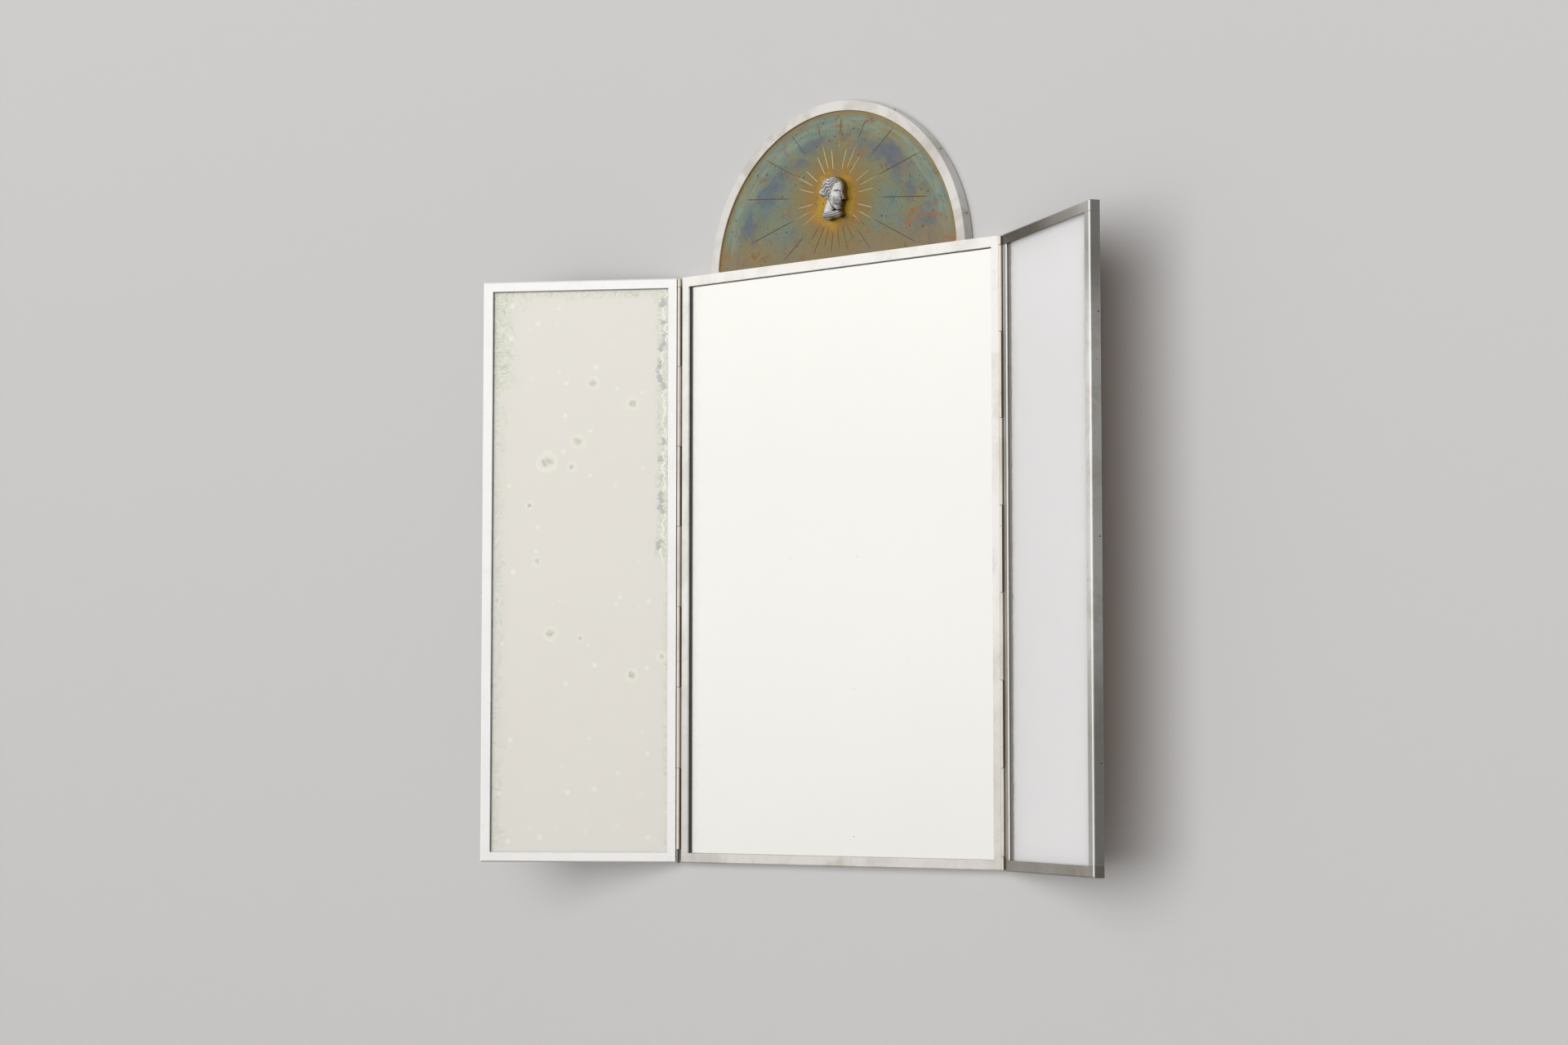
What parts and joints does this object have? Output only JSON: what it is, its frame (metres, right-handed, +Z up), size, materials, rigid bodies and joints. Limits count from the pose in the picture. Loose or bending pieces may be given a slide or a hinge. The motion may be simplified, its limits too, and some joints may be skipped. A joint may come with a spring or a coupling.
{
  "type": "folding mirror",
  "caption": "Wall-hung folding mirror: a framed glass with a half-round lunette above it and a framed glass wing hinged on each side, which folds over the middle.",
  "frame": {"origin": "centre of the keyhole's round end, in the plane of the wall", "axes": "+X to the viewer's right, +Y into the wall, +Z up; the mirror faces -Y"},
  "size_m": [0.4566, 0.0725, 0.4416],
  "materials": {
    "backboard_wood": "thin stained board",
    "dark_steel": "dark wire",
    "fittings": "dull brass",
    "mirror_glass": "old silvered glass",
    "packing_paper": "grey-brown packing paper",
    "silver": "satin silver plate with light tarnish",
    "tinted_plate": "heat-tinted sheet with engraved rays"
  },
  "bodies": {
    "centre": {"arch_brads": "silver", "arch_frame": "silver", "centre_backboard": "backboard_wood", "centre_bottom_rail": "silver", "centre_brads": "silver", "centre_glass": "mirror_glass", "centre_left_stile": "silver", "centre_packing": "packing_paper", "centre_right_stile": "silver", "centre_top_rail": "silver", "hanger_tacks": "fittings", "head_relief": "silver", "head_washer": "fittings", "keyhole_hanger": "fittings", "left_centre_knuckles": "silver", "lunette_backboard": "backboard_wood", "lunette_plate": "tinted_plate", "right_centre_knuckles": "silver"},
    "left_wing": {"left_wing_backboard": "backboard_wood", "left_wing_bottom_rail": "silver", "left_wing_brads": "silver", "left_wing_glass": "mirror_glass", "left_wing_hinge_pin": "dark_steel", "left_wing_hinge_stile": "silver", "left_wing_knuckles": "silver", "left_wing_outer_stile": "silver", "left_wing_packing": "packing_paper", "left_wing_top_rail": "silver"},
    "right_wing": {"right_wing_backboard": "backboard_wood", "right_wing_bottom_rail": "silver", "right_wing_brads": "silver", "right_wing_glass": "mirror_glass", "right_wing_hinge_pin": "dark_steel", "right_wing_hinge_stile": "silver", "right_wing_knuckles": "silver", "right_wing_outer_stile": "silver", "right_wing_packing": "packing_paper", "right_wing_top_rail": "silver"}
  },
  "joints": [
    {"name": "left_wing_hinge", "type": "hinge", "parent": "centre", "child": "left_wing", "pos_m": [-0.1215, -0.0084, -0.2296], "axis": [0, 0, 1], "range_deg": [-32.4, 147.6]},
    {"name": "right_wing_hinge", "type": "hinge", "parent": "centre", "child": "right_wing", "pos_m": [0.1215, -0.0084, -0.2296], "axis": [0, 0, -1], "range_deg": [-30.4, 149.6]}
  ]
}
